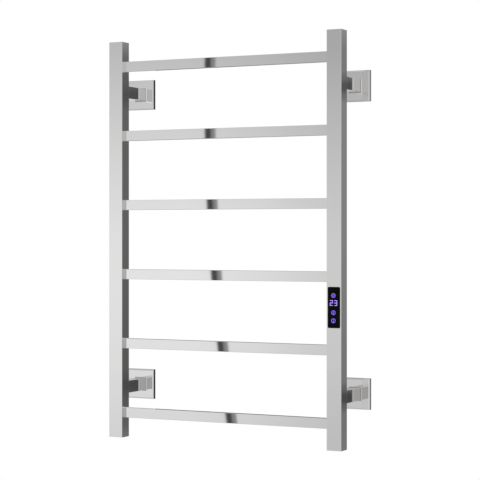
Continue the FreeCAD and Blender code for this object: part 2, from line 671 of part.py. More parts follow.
def temperature_sensor():
    return straight_lead(SENSOR_LEAD_OFFSET, SENSOR_BOTTOM, SENSOR_BOTTOM + SENSOR_LENGTH, SENSOR_DIAMETER)


def build_frame():
    for name, side in SIDES.items():
        export(f"{name}_upright", upright(side))
    for number, z in enumerate(RUNG_LEVELS, start=1):
        export(f"rung_{number}", rung(z))


def build_brackets():
    for level_name, level in LEVELS.items():
        for side_name, side in SIDES.items():
            place = f"{level_name}_{side_name}"
            export(f"{place}_end_cap", end_cap(side, level))
            export(f"{place}_wall_flange", wall_flange(side, level))
            export(f"{place}_standoff", standoff(side, level))
            export(f"{place}_rosette", rosette(side, level))
    export("standoff_bolts", four_brackets(standoff_bolt))
    export("weld_nuts", four_brackets(weld_nut))
    export("grub_screws", four_brackets(grub_screw))


def build_controls():
    export("control_glass", control_glass())
    export("control_gasket", control_gasket())
    export("control_housing", control_housing())
    export("control_board", control_board())
    export("board_screws", board_screws())
    export("digit_display", digit_display())
    export("touch_springs", touch_springs())
    export("power_triac", power_triac())
    export("lead_headers", lead_headers())


def build_wiring():
    leads, thermal_fuse = heater_leads()
    export("heating_cable", heating_cable())
    export("splice_sleeves", splice_sleeves())
    export("heater_leads", leads)
    export("thermal_fuse", thermal_fuse)
    export("supply_leads", supply_leads())
    export("terminal_block", terminal_block())
    export("terminal_screws", terminal_screws())
    export("inlet_grommet", inlet_grommet())
    export("earth_screw", earth_screw())
    export("earth_lug", earth_lug())
    export("earth_nut", earth_nut())
    export("earth_lead", earth_lead())
    export("sensor_lead", sensor_lead())
    export("temperature_sensor", temperature_sensor())


os.makedirs("parts", exist_ok=True)
build_frame()
build_brackets()
build_controls()
build_wiring()
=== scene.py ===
"""Looks of a towel warmer rack: a polished steel ladder on four wall brackets, with a lit touch panel."""

import json
import logging
import math
from contextlib import contextmanager
from dataclasses import dataclass
from enum import Enum
from typing import Callable, Iterator, Sequence, Union

import bmesh
import bpy
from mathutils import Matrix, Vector


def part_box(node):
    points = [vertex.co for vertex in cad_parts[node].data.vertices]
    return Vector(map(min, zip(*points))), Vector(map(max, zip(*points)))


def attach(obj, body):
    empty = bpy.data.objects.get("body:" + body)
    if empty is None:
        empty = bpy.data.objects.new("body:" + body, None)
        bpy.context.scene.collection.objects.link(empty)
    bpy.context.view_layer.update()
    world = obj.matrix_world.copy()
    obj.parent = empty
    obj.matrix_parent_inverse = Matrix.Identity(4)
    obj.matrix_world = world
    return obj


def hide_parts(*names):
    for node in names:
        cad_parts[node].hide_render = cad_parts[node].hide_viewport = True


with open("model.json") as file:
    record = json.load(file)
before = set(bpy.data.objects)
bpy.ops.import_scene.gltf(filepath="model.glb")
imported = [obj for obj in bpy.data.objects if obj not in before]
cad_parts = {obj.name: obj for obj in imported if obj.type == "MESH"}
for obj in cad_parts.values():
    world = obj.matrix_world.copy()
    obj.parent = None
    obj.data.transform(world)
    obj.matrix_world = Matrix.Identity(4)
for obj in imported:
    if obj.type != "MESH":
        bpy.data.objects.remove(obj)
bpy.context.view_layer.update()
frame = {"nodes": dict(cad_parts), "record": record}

logging.basicConfig(level=logging.INFO, format="%(message)s")
log = logging.getLogger("towel_rack")

MM = 0.001
MICRON = 0.000001
# A gap too small to matter, and how much of a normal lies along the axis that a face is said to face.
HAIR = 0.01 * MM
FACING = 0.9
WHITE = (1.0, 1.0, 1.0)
Colour = tuple[float, float, float]
Curve = Sequence[tuple[float, float]]
Operand = Union["Signal", float, Sequence[float]]


# Shader maths


class Signal:
    """A value that flows out of a shader node, which Python operators turn into further nodes."""

    def __init__(self, graph: "Graph", socket: bpy.types.NodeSocket) -> None:
        """Keeps the graph and the output socket that the value comes from."""
        self.graph = graph
        self.socket = socket

    def maths(self, operation: str, *others: Operand) -> "Signal":
        """Returns the result of a Math node on this value and then the others."""
        return self.graph.maths(operation, self, *others)

    def __add__(self, other: Operand) -> "Signal":
        """Returns self + other."""
        return self.maths("ADD", other)

    def __radd__(self, other: Operand) -> "Signal":
        """Returns other + self."""
        return self.graph.maths("ADD", other, self)

    def __sub__(self, other: Operand) -> "Signal":
        """Returns self - other."""
        return self.maths("SUBTRACT", other)

    def __rsub__(self, other: Operand) -> "Signal":
        """Returns other - self."""
        return self.graph.maths("SUBTRACT", other, self)

    def __mul__(self, other: Operand) -> "Signal":
        """Returns self * other."""
        return self.maths("MULTIPLY", other)

    def __rmul__(self, other: Operand) -> "Signal":
        """Returns other * self."""
        return self.graph.maths("MULTIPLY", other, self)

    def __neg__(self) -> "Signal":
        """Returns the value with its sign turned."""
        return self.maths("MULTIPLY", -1.0)


class Graph:
    """A shader node tree that is written as expressions."""

    def __init__(self, tree: bpy.types.NodeTree) -> None:
        """Empties the tree, ready for its nodes."""
        self.tree = tree
        tree.nodes.clear()

    def node(self, kind: str, settings: dict, inputs: dict, output: Union[int, str] = 0) -> Signal:
        """Adds one node of any type.

        Args:
            kind: The node's type name.
            settings: What is set on the node before its sockets, such as a Math node's operation. The key
                "stops" holds a Color Ramp's stops, and "ease" whether it eases in and out of them.
            inputs: The value or signal of each socket, by its name or number.
            output: The name or number of the output that is wanted.

        Returns:
            The signal at that output, or None from a node that has no outputs.
        """
        made = self.tree.nodes.new(kind)
        for key, value in settings.items():
            if key == "stops":
                self._set_stops(made, value)
            elif key == "ease":
                made.color_ramp.interpolation = "EASE" if value else "LINEAR"
            else:
                setattr(made, key, value)
        for key, value in inputs.items():
            self._feed(made.inputs[key], value)
        return Signal(self, made.outputs[output]) if made.outputs else None

    def _feed(self, socket: bpy.types.NodeSocket, value: Operand) -> None:
        """Links a signal to a socket, or sets a plain value on it.

        Args:
            socket: The input socket.
            value: The signal or value.
        """
        if isinstance(value, Signal):
            self.tree.links.new(value.socket, socket)
        elif socket.type == "RGBA":
            socket.default_value = (*value[:3], 1.0)
        else:
            socket.default_value = value

    def _set_stops(self, ramp_node: bpy.types.Node, stops: Curve) -> None:
        """Gives a Color Ramp its grey stops.

        Args:
            ramp_node: The ramp.
            stops: Each stop's place, from 0 to 1, and its level.
        """
        elements = ramp_node.color_ramp.elements
        while len(elements) > 1:
            elements.remove(elements[-1])
        for number, (place, level) in enumerate(stops):
            element = elements[0] if number == 0 else elements.new(place)
            element.position = place
            element.color = (level, level, level, 1.0)

    def maths(self, operation: str, *operands: Operand) -> Signal:
        """Returns the result of a Math node on these operands."""
        return self.node("ShaderNodeMath", {"operation": operation}, dict(enumerate(operands)))

    def object_point(self) -> Signal:
        """Returns the point being shaded, in the object's own metres."""
        return self.node("ShaderNodeTexCoord", {}, {}, "Object")

    def axes(self, vector: Signal) -> tuple[Signal, Signal, Signal]:
        """Returns the x, y and z of a vector."""
        split = self.node("ShaderNodeSeparateXYZ", {}, {"Vector": vector}).socket.node
        return tuple(Signal(self, socket) for socket in split.outputs)

    def stretched(self, vector: Signal, scale: Sequence[float]) -> Signal:
        """Returns a point scaled along each axis, to stretch the pattern that reads it."""
        return self.node("ShaderNodeMapping", {}, {"Vector": vector, "Scale": scale})

    def noise(self, vector: Signal, scale: float, detail: float = 2.0, roughness: float = 0.5) -> Signal:
        """Returns smooth noise from 0 to 1, with about scale lumps in a metre."""
        sockets = {"Vector": vector, "Scale": scale, "Detail": detail, "Roughness": roughness}
        return self.node("ShaderNodeTexNoise", {}, sockets)

    def share(self, value: Signal, start: float, end: float) -> Signal:
        """Returns 0 where a value is start, 1 where it is end, and no more or less beyond them."""
        sockets = {"Value": value, "From Min": start, "From Max": end}
        return self.node("ShaderNodeMapRange", {"clamp": True}, sockets)

    def profile(self, value: Signal, points: Curve, ease: bool = False) -> Signal:
        """Returns a curve through points.

        Args:
            value: What the curve is read at.
            points: Each point's place on the value's own scale, rising, and its level.
            ease: Whether the curve eases in and out of each point.

        Returns:
            The curve's level at the value.
        """
        low, high = points[0][0], points[-1][0]
        peak = max(level for _, level in points)
        stops = [((place - low) / (high - low), level / peak) for place, level in points]
        share = self.share(value, low, high)
        return self.node("ShaderNodeValToRGB", {"ease": ease, "stops": stops}, {"Fac": share}) * peak

    def mix(self, mask: Operand, first: Operand, second: Operand) -> Signal:
        """Returns a colour between first, at mask 0, and second, at mask 1."""
        settings = {"data_type": "RGBA", "clamp_factor": True}
        return self.node("ShaderNodeMix", settings, {0: mask, 6: first, 7: second}, 2)

    def tint(self, colour: Colour, level: Signal) -> Signal:
        """Returns a colour multiplied by a level."""
        settings = {"data_type": "RGBA", "blend_type": "MULTIPLY"}
        return self.node("ShaderNodeMix", settings, {0: 1.0, 6: colour, 7: level}, 2)

    def bump(self, height: Signal, distance: float) -> Signal:
        """Returns the normal of a surface raised by height times distance in metres."""
        return self.node("ShaderNodeBump", {}, {"Height": height, "Distance": distance, "Strength": 1.0})

    def surface(self, sockets: dict) -> None:
        """Ends a material's tree with the general surface shader, given its sockets."""
        self.finish(self.node("ShaderNodeBsdfPrincipled", {}, sockets))

    def finish(self, shader: Signal, output: str = "ShaderNodeOutputMaterial") -> None:
        """Ends the tree with a shader."""
        self.node(output, {}, {"Surface": shader})


# Finishes


class Grain(Enum):
    """The way that polishing lines run along a piece, as the stretch of the pattern on x, y and z."""

    UPRIGHT = (1.0, 1.0, 0.02)
    ACROSS = (0.02, 1.0, 1.0)
    OUTWARD = (1.0, 0.02, 1.0)
    NONE = (1.0, 1.0, 1.0)


@dataclass(frozen=True)
class Finish:
    """What a surface is made of. Each kind fills in its own nodes."""

    name: str

    def nodes(self, graph: Graph) -> None:
        """Fills the material's node tree."""
        raise NotImplementedError

    def material(self) -> bpy.types.Material:
        """Makes this finish's material, the first time it is asked for.

        Returns:
            The material.
        """
        title = f"{self.name}_finish"
        made = bpy.data.materials.get(title)
        if made is None:
            made = bpy.data.materials.new(title)
            made.use_nodes = True
            self.nodes(Graph(made.node_tree))
        return made

    def coat(self, piece: bpy.types.Object) -> bpy.types.Object:
        """Puts this finish all over a piece.

        Args:
            piece: The piece.

        Returns:
            The same piece.
        """
        slots = piece.data.materials
        if len(slots) == 0:
            slots.append(None)
        for number in range(len(slots)):
            slots[number] = self.material()
        return piece


@dataclass(frozen=True)
class Metal(Finish):
    """Bare metal with polishing lines, faint smears and a slight change of tone."""

    colour: Colour = (0.783, 0.776, 0.774)
    roughness: float = 0.012
    smear: float = 0.012
    grain: Grain = Grain.NONE
    line_scale: float = 1400.0
    line_depth: float = 0.08 * MICRON
    tone_change: float = 0.02
    smear_scale: float = 26.0

    def nodes(self, graph: Graph) -> None:
        """Lays fine lines along the grain, and broad soft smears over them.

        Args:
            graph: The material's node tree.
        """
        point = graph.object_point()
        lines = graph.noise(graph.stretched(point, self.grain.value), self.line_scale, 3.0, 0.6)
        smears = graph.noise(point, self.smear_scale, 3.0, 0.55)
        level = 1.0 - self.tone_change * smears - 0.5 * self.tone_change * lines
        sockets = {
            "Base Color": graph.tint(self.colour, level),
            "Metallic": 1.0,
            "Roughness": self.roughness + self.smear * smears * lines,
            "Normal": graph.bump(lines, self.line_depth),
        }
        graph.surface(sockets)


@dataclass(frozen=True)
class Plastic(Finish):
    """Moulded plastic, rubber or silicone, with a fine surface grain and uneven colour."""

    colour: Colour = (0.04, 0.04, 0.045)
    roughness: float = 0.45
    specular: float = 0.5
    sheen: float = 0.0
    pore_scale: float = 2600.0
    pore_depth: float = 15.0 * MICRON
    shade_change: float = 0.12
    cloud_scale: float = 90.0
    cloud_dulling: float = 0.12
    pore_polish: float = 0.06

    def nodes(self, graph: Graph) -> None:
        """Pits the surface finely, and clouds its colour and gloss.

        Args:
            graph: The material's node tree.
        """
        point = graph.object_point()
        pores = graph.noise(point, self.pore_scale, 2.0, 0.5)
        clouds = graph.noise(point, self.cloud_scale, 3.0, 0.55)
        sockets = {
            "Base Color": graph.tint(self.colour, 1.0 - self.shade_change * clouds),
            "Roughness": self.roughness + self.cloud_dulling * clouds - self.pore_polish * pores,
            "Normal": graph.bump(pores, self.pore_depth),
            "Specular IOR Level": self.specular,
            "Sheen Weight": self.sheen,
        }
        graph.surface(sockets)


@dataclass(frozen=True)
class Striped(Plastic):
    """Insulation in two colours, with the second in bands around the wire."""

    second: Colour = (0.62, 0.55, 0.03)
    bands_per_metre: float = 190.0
    band_edge: tuple[float, float] = (0.3, 0.4)
    pore_dulling: float = 0.1

    def nodes(self, graph: Graph) -> None:
        """Winds the second colour round the lead and pits both.

        Args:
            graph: The material's node tree.
        """
        point = graph.object_point()
        _, _, height = graph.axes(point)
        wave = (height * (self.bands_per_metre * 2.0 * math.pi)).maths("SINE")
        pores = graph.noise(point, self.pore_scale, 2.0, 0.5)
        edge = graph.share(wave, *self.band_edge)
        sockets = {
            "Base Color": graph.mix(edge, self.colour, self.second),
            "Roughness": self.roughness + self.pore_dulling * pores,
            "Normal": graph.bump(pores, self.pore_depth),
        }
        graph.surface(sockets)


@dataclass(frozen=True)
class Glass(Finish):
    """A black glass front: deep, glossy, and faintly smeared where it is touched."""

    colour: Colour = (0.0012, 0.0012, 0.0014)
    roughness: float = 0.04
    smear: float = 0.10
    smeared_colour: Colour = (0.0022, 0.0022, 0.0026)
    ripple_depth: float = 0.8 * MICRON
    smear_scale: float = 70.0
    ripple_scale: float = 160.0

    def nodes(self, graph: Graph) -> None:
        """Adds finger smears to the gloss and a slow ripple to the surface.

        Args:
            graph: The material's node tree.
        """
        point = graph.object_point()
        smears = graph.noise(point, self.smear_scale, 4.0, 0.6)
        ripples = graph.noise(point, self.ripple_scale, 1.0, 0.4)
        marks = graph.share(smears, 0.5, 0.8)
        sockets = {
            "Base Color": graph.mix(marks, self.colour, self.smeared_colour),
            "Roughness": self.roughness + self.smear * marks,
            "Normal": graph.bump(ripples, self.ripple_depth),
            "IOR": 1.5,
            "Specular IOR Level": 0.06,
        }
        graph.surface(sockets)


@dataclass(frozen=True)
class Lamp(Finish):
    """A lit sign: colour that glows, a little uneven, as light does behind printed glass."""

    colour: Colour = (0.5, 0.4, 1.0)
    strength: float = 1.0
    uneven: float = 0.25
    unlit: Colour = (0.02, 0.02, 0.03)
    roughness: float = 0.2
    patch_scale: float = 420.0

    def nodes(self, graph: Graph) -> None:
        """Glows with soft brighter and darker places.

        Args:
            graph: The material's node tree.
        """
        point = graph.object_point()
        patches = graph.noise(point, self.patch_scale, 1.0, 0.5)
        sockets = {
            "Base Color": self.unlit,
            "Roughness": self.roughness + 0.1 * patches,
            "Emission Color": graph.tint(self.colour, 1.0 - self.uneven * patches),
            "Emission Strength": self.strength,
        }
        graph.surface(sockets)


@dataclass(frozen=True)
class Board(Finish):
    """A circuit board: solder mask with copper tracks showing through it and pale pads."""

    mask: Colour = (0.012, 0.12, 0.045)
    track: Colour = (0.03, 0.22, 0.08)
    pad: Colour = (0.62, 0.60, 0.52)
    track_scale: float = 520.0
    track_stretch: tuple[float, float, float] = (1.0, 1.0, 0.35)
    track_gap: float = 0.06
    pad_scale: float = 340.0
    pad_rim: tuple[float, float] = (0.16, 0.12)
    relief: float = 20.0 * MICRON
    roughness: float = 0.34
    pad_polish: float = 0.1
    pad_metal: float = 0.9

    def nodes(self, graph: Graph) -> None:
        """Draws runs of track and scattered pads.

        Args:
            graph: The material's node tree.
        """
        point = graph.object_point()
        stretched = graph.stretched(point, self.track_stretch)
        bricks = {"Vector": stretched, "Scale": self.track_scale, "Mortar Size": self.track_gap}
        runs = graph.node("ShaderNodeTexBrick", {}, bricks, "Fac")
        holes = {"Vector": point, "Scale": self.pad_scale}
        cells = graph.node("ShaderNodeTexVoronoi", {}, holes, "Distance")
        pads = graph.share(cells, *self.pad_rim)
        bare = graph.mix(runs, self.mask, self.track)
        sockets = {
            "Base Color": graph.mix(pads, bare, self.pad),
            "Metallic": self.pad_metal * pads,
            "Roughness": self.roughness - self.pad_polish * pads,
            "Normal": graph.bump(runs + pads, self.relief),
        }
        graph.surface(sockets)


# Modelling


def select_none() -> None:
    """Leaves nothing selected, in object mode."""
    if bpy.context.object is not None and bpy.context.object.mode != "OBJECT":
        bpy.ops.object.mode_set(mode="OBJECT")
    bpy.ops.object.select_all(action="DESELECT")


@contextmanager
def editing(piece: bpy.types.Object) -> Iterator[None]:
    """Holds one piece in edit mode, with nothing on it selected at first.

    Args:
        piece: The piece to edit.

    Yields:
        Nothing.
    """
    select_none()
    piece.select_set(True)
    bpy.context.view_layer.objects.active = piece
    bpy.ops.object.mode_set(mode="EDIT")
    bpy.ops.mesh.select_all(action="DESELECT")
    yield
    bpy.ops.object.mode_set(mode="OBJECT")


def pick_faces(piece: bpy.types.Object, wanted: Callable[[Vector, Vector], bool]) -> None:
    """Selects the faces that pass a test, and no others.

    Args:
        piece: The piece, in edit mode.
        wanted: The test, on a face's centre and normal.
    """
    bpy.ops.mesh.select_mode(type="FACE")
    bpy.ops.mesh.select_all(action="DESELECT")
    mesh = bmesh.from_edit_mesh(piece.data)
    for face in mesh.faces:
        face.select_set(wanted(face.calc_center_median(), face.normal))
    bmesh.update_edit_mesh(piece.data)


def pick_edges(piece: bpy.types.Object, wanted: Callable[[Vector, Vector], bool]) -> None:
    """Selects the edges that pass a test, and no others.

    Args:
        piece: The piece, in edit mode.
        wanted: The test, on an edge's two ends.
    """
    bpy.ops.mesh.select_mode(type="EDGE")
    bpy.ops.mesh.select_all(action="DESELECT")
    mesh = bmesh.from_edit_mesh(piece.data)
    for edge in mesh.edges:
        edge.select_set(wanted(edge.verts[0].co, edge.verts[1].co))
    bmesh.update_edit_mesh(piece.data)


def settle(piece: bpy.types.Object, smooth_below: float = 35.0) -> bpy.types.Object:
    """Moves a piece's place into its mesh and shades it smooth, with sharp edges kept.

    Args:
        piece: The piece to finish.
        smooth_below: The angle in degrees under which an edge is shaded smooth.

    Returns:
        The same piece.
    """
    select_none()
    piece.select_set(True)
    bpy.context.view_layer.objects.active = piece
    bpy.ops.object.transform_apply(location=True, rotation=True, scale=True)
    bpy.ops.object.shade_smooth_by_angle(angle=math.radians(smooth_below))
    return piece


def new_block(name: str, centre: Vector, size: Sequence[float], turn: float = 0.0) -> bpy.types.Object:
    """Starts a piece from a box.

    Args:
        name: The piece's name.
        centre: Its middle, in metres.
        size: Its size along x, y and z, in metres.
        turn: How far it is turned about y, in degrees.

    Returns:
        The box, with its place in its mesh.
    """
    select_none()
    bpy.ops.mesh.primitive_cube_add(size=1.0, location=centre, rotation=(0.0, math.radians(turn), 0.0))
    piece = bpy.context.object
    piece.name = name
    piece.data.name = name
    piece.scale = size
    bpy.ops.object.transform_apply(location=False, rotation=False, scale=True)
    return piece


def copy_of(piece: bpy.types.Object, name: str, shift: Vector, mirrored: bool = False) -> bpy.types.Object:
    """Makes a copy of a settled piece, with its own mesh.

    Args:
        piece: The piece to copy, whose place is in its mesh.
        name: The copy's name.
        shift: How far the copy is moved, in metres.
        mirrored: Whether the copy is first mirrored across the plane x = 0.

    Returns:
        The copy, with its place in its mesh.
    """
    select_none()
    made = piece.copy()
    made.data = piece.data.copy()
    made.name = name
    made.data.name = name
    bpy.context.scene.collection.objects.link(made)
    if mirrored:
        made.scale.x = -1.0
    made.location = shift
    made.select_set(True)
    bpy.context.view_layer.objects.active = made
    bpy.ops.object.transform_apply(location=True, rotation=True, scale=True)
    if mirrored:
        with editing(made):
            bpy.ops.mesh.select_all(action="SELECT")
            bpy.ops.mesh.normals_make_consistent(inside=False)
    return made


def joined(pieces: Sequence[bpy.types.Object], name: str) -> bpy.types.Object:
    """Joins pieces into one.

    Args:
        pieces: The pieces to join.
        name: The joined piece's name.

    Returns:
        The joined piece.
    """
    select_none()
    for piece in pieces:
        piece.select_set(True)
    bpy.context.view_layer.objects.active = pieces[0]
    bpy.ops.object.join()
    pieces[0].name = name
    pieces[0].data.name = name
    return pieces[0]


# Sub-assemblies


@dataclass
class Welds:
    """The polished weld bead round each end of each rung."""

    finish: Finish
    rungs: int = 6
    bead: float = 0.45 * MM
    skin: float = 0.03 * MM
    foot: float = 0.02 * MM
    corner: float = 0.8 * MM
    corner_steps: int = 5
    steps: int = 4

    def first(self) -> bpy.types.Object:
        """Models the bead at the right end of the top rung.

        Returns:
            The bead, a hollow-curved collar that runs out on the rung.
        """
        low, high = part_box("rung_1")
        middle = (low + high) / 2
        size = high - low
        start = Vector((high.x - self.foot / 2, middle.y, middle.z))
        section = (self.foot, size.y + 2 * self.bead, size.z + 2 * self.bead)
        piece = new_block("weld_1_right", start, section)
        with editing(piece):
            pick_edges(piece, lambda a, b: abs(a.x - b.x) > self.foot / 2)
            bpy.ops.mesh.bevel(offset=self.corner, segments=self.corner_steps, profile=0.5)
            reach, lift = 0.0, self.bead
            for step in range(1, self.steps + 1):
                angle = math.radians(90.0 * step / self.steps)
                new_reach = self.bead * (1.0 - math.cos(angle))
                new_lift = self.bead * (1.0 - math.sin(angle)) + self.skin
                end = HAIR / 10 - self.foot / 2 - reach
                pick_faces(piece, lambda c, n: n.x < -FACING and c.x < end)
                move = {"value": (reach - new_reach, 0.0, 0.0)}
                bpy.ops.mesh.extrude_region_move(TRANSFORM_OT_translate=move)
                ratio = (
                    1.0,
                    (size.y / 2 + new_lift) / (size.y / 2 + lift),
                    (size.z / 2 + new_lift) / (size.z / 2 + lift),
                )
                bpy.ops.transform.resize(value=ratio, center_override=start)
                reach, lift = new_reach, new_lift
        return settle(piece, 50.0)

    def build(self) -> None:
        """Models one bead and copies it to every other joint."""
        first = self.finish.coat(self.first())
        top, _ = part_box("rung_1")
        for number in range(1, self.rungs + 1):
            low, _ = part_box(f"rung_{number}")
            shift = Vector((0.0, 0.0, low.z - top.z))
            for side, mirrored in (("right", False), ("left", True)):
                name = f"weld_{number}_{side}"
                piece = first if name == first.name else copy_of(first, name, shift, mirrored)
                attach(piece, "rack")
                log.info("piece %s", piece.name)


class Sign(Enum):
    """The bars inside a sign's ring: each one's middle x and z, length and turn, in mm and degrees."""

    WARMER = (
        (-1.1, 1.1, 3.2, -45.0),
        (1.1, 1.1, 3.2, 45.0),
        (-1.1, -1.1, 3.2, 45.0),
        (1.1, -1.1, 3.2, -45.0),
    )
    TIMER = ((0.0, 1.4, 3.4, 90.0), (-1.0, -1.0, 2.8, 45.0), (1.0, -1.0, 2.8, -45.0))
    POWER = ((0.0, 0.0, 5.6, 90.0), (0.0, -2.4, 3.0, 0.0))


@dataclass
class TouchPanel:
    """The black glass front of the control, with two digits and three ring signs lit behind it."""

    glass: Finish
    digit_lamp: Finish
    sign_lamp: Finish
    corner: float = 2.5 * MM
    corner_steps: int = 8
    edge: float = 0.7 * MM
    edge_steps: int = 4
    inlay: float = 0.08 * MM
    lit_depth: float = 0.056 * MM
    lit_level: float = 0.044 * MM
    point: float = 0.42
    overlap: float = 0.7
    digit_width: float = 6.1 * MM
    digit_height: float = 10.2 * MM
    digit_gap: float = 2.8 * MM
    digit_stroke: float = 1.0 * MM
    digits_below_top: float = 30.3 * MM
    digits_left: float = 0.8 * MM
    ring_size: float = 8.8 * MM
    ring_stroke: float = 1.0 * MM
    ring_sides: int = 40
    signs_left: float = 1.0 * MM

    SEGMENTS = {
        "2": ("top", "upper_right", "middle", "lower_left", "bottom"),
        "3": ("top", "upper_right", "middle", "lower_right", "bottom"),
    }
    SIGNS = (
        ("sign_warmer", Sign.WARMER, 16.2 * MM),
        ("sign_timer", Sign.TIMER, 48.8 * MM),
        ("sign_power", Sign.POWER, 64.0 * MM),
    )

    def front(self) -> bpy.types.Object:
        """Models the glass.

        Returns:
            The glass, a plate with round corners and a softly bevelled face.
        """
        low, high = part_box("control_glass")
        low.y += self.inlay
        piece = new_block("touch_glass", (low + high) / 2, high - low)
        face = (low.y - high.y) / 2
        with editing(piece):
            pick_edges(piece, lambda a, b: abs(a.y - b.y) > self.inlay)
            bpy.ops.mesh.bevel(offset=self.corner, segments=self.corner_steps, profile=0.5)
            pick_faces(piece, lambda c, n: n.y < -FACING and abs(c.y - face) < HAIR)
            bpy.ops.mesh.region_to_loop()
            bpy.ops.mesh.bevel(offset=self.edge, segments=self.edge_steps, profile=0.5)
        return settle(piece, 40.0)

    def on_glass(self, x: float, z: float) -> Vector:
        """Returns the middle of a lit shape on the face of the glass, in metres."""
        low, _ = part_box("control_glass")
        return Vector((x, low.y + self.lit_level, z))

    def bar(self, x: float, z: float, length: float, stroke: float, turn: float) -> bpy.types.Object:
        """Models one lit bar with pointed ends.

        Args:
            x: The bar's middle, in metres.
            z: The bar's middle, in metres.
            length: Its length, in metres.
            stroke: Its width, in metres.
            turn: How far it is turned about y, in degrees.

        Returns:
            The bar, on the face of the glass.
        """
        piece = new_block("bar", self.on_glass(x, z), (length, self.lit_depth, stroke), turn)
        with editing(piece):
            pick_edges(piece, lambda a, b: abs(a.y - b.y) > self.lit_depth / 2)
            bpy.ops.mesh.bevel(offset=stroke * self.point, segments=2, profile=0.5)
        return settle(piece)

    def digit(self, name: str, character: str, x: float, z: float) -> bpy.types.Object:
        """Models a digit from its lit segments.

        Args:
            name: The digit's name as a piece.
            character: The digit.
            x: Its middle, in metres.
            z: Its middle, in metres.

        Returns:
            The digit, on the face of the glass.
        """
        across = self.digit_width - self.digit_stroke
        up = (self.digit_height - self.digit_stroke) / 2
        places = {
            "top": (0.0, up, across, 0.0),
            "middle": (0.0, 0.0, across, 0.0),
            "bottom": (0.0, -up, across, 0.0),
            "upper_right": (across / 2, up / 2, up, 90.0),
            "lower_left": (-across / 2, -up / 2, up, 90.0),
            "lower_right": (across / 2, -up / 2, up, 90.0),
        }
        bars = []
        for segment in self.SEGMENTS[character]:
            dx, dz, length, turn = places[segment]
            length += self.overlap * self.digit_stroke
            bars.append(self.bar(x + dx, z + dz, length, self.digit_stroke, turn))
        return joined(bars, name)

    def ring(self, x: float, z: float) -> bpy.types.Object:
        """Models a flat ring by opening the middle of a disc and bridging its two rims.

        Args:
            x: The ring's middle, in metres.
            z: The ring's middle, in metres.

        Returns:
            The ring, on the face of the glass.
        """
        select_none()
        bpy.ops.mesh.primitive_cylinder_add(
            vertices=self.ring_sides,
            radius=self.ring_size / 2,
            depth=self.lit_depth,
            location=self.on_glass(x, z),
            rotation=(math.radians(90.0), 0.0, 0.0),
        )
        piece = bpy.context.object
        inside = (self.ring_size - self.ring_stroke) / 2
        with editing(piece):
            pick_faces(piece, lambda c, n: abs(n.z) > FACING)
            bpy.ops.mesh.inset(thickness=self.ring_stroke, use_individual=True)
            bpy.ops.mesh.delete(type="FACE")
            pick_edges(piece, lambda a, b: max(a.xy.length, b.xy.length) < inside)
            bpy.ops.mesh.bridge_edge_loops()
            bpy.ops.mesh.select_all(action="SELECT")
            bpy.ops.mesh.normals_make_consistent(inside=False)
        return settle(piece)

    def sign(self, name: str, kind: Sign, x: float, z: float) -> bpy.types.Object:
        """Models a ring sign.

        Args:
            name: The sign's name as a piece.
            kind: The bars inside its ring.
            x: Its middle, in metres.
            z: Its middle, in metres.

        Returns:
            The sign, on the face of the glass.
        """
        parts = [self.ring(x, z)]
        for dx, dz, length, turn in kind.value:
            parts.append(self.bar(x + dx * MM, z + dz * MM, length * MM, self.ring_stroke, turn))
        return joined(parts, name)

    def build(self) -> None:
        """Models and lights the whole panel."""
        low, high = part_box("control_glass")
        middle = (low.x + high.x) / 2
        glass = self.glass.coat(self.front())
        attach(glass, "rack")
        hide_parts("control_glass")
        log.info("piece %s", glass.name)
        offset = (self.digit_width + self.digit_gap) / 2
        level = high.z - self.digits_below_top
        start = middle - self.digits_left
        lit = [
            self.digit_lamp.coat(self.digit("digit_tens", "2", start - offset, level)),
            self.digit_lamp.coat(self.digit("digit_units", "3", start + offset, level)),
        ]
        for name, kind, below in self.SIGNS:
            sign = self.sign(name, kind, middle - self.signs_left, high.z - below)
            lit.append(self.sign_lamp.coat(sign))
        for piece in lit:
            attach(piece, "rack")
            log.info("piece %s", piece.name)


